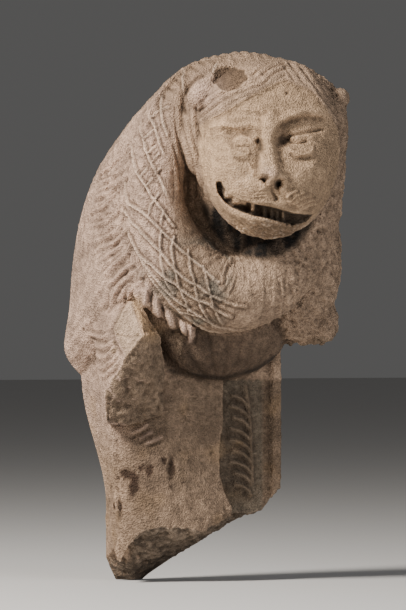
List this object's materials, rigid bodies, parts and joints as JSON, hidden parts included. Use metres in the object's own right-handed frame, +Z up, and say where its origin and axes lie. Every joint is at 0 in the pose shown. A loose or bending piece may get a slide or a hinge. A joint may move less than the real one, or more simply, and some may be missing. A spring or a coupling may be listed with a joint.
{
  "type": "lion protome",
  "caption": "Forepart of a grinning lion in brown sandstone, its face ringed by a netted mane over a chest and a block with a carved frond, broken below and made to be built into a wall.",
  "frame": {"origin": "middle of the flat back, which lies against the wall", "axes": "+Y into the wall, so the lion looks out towards -Y; +X to the viewer's right; +Z up"},
  "size_m": [0.3471, 0.4011, 0.6991],
  "materials": {
    "stone": "weathered brown sandstone, matt and grainy, with darker stained hollows and broken faces"
  },
  "bodies": {
    "root": {"lion_protome": "stone"}
  },
  "joints": []
}
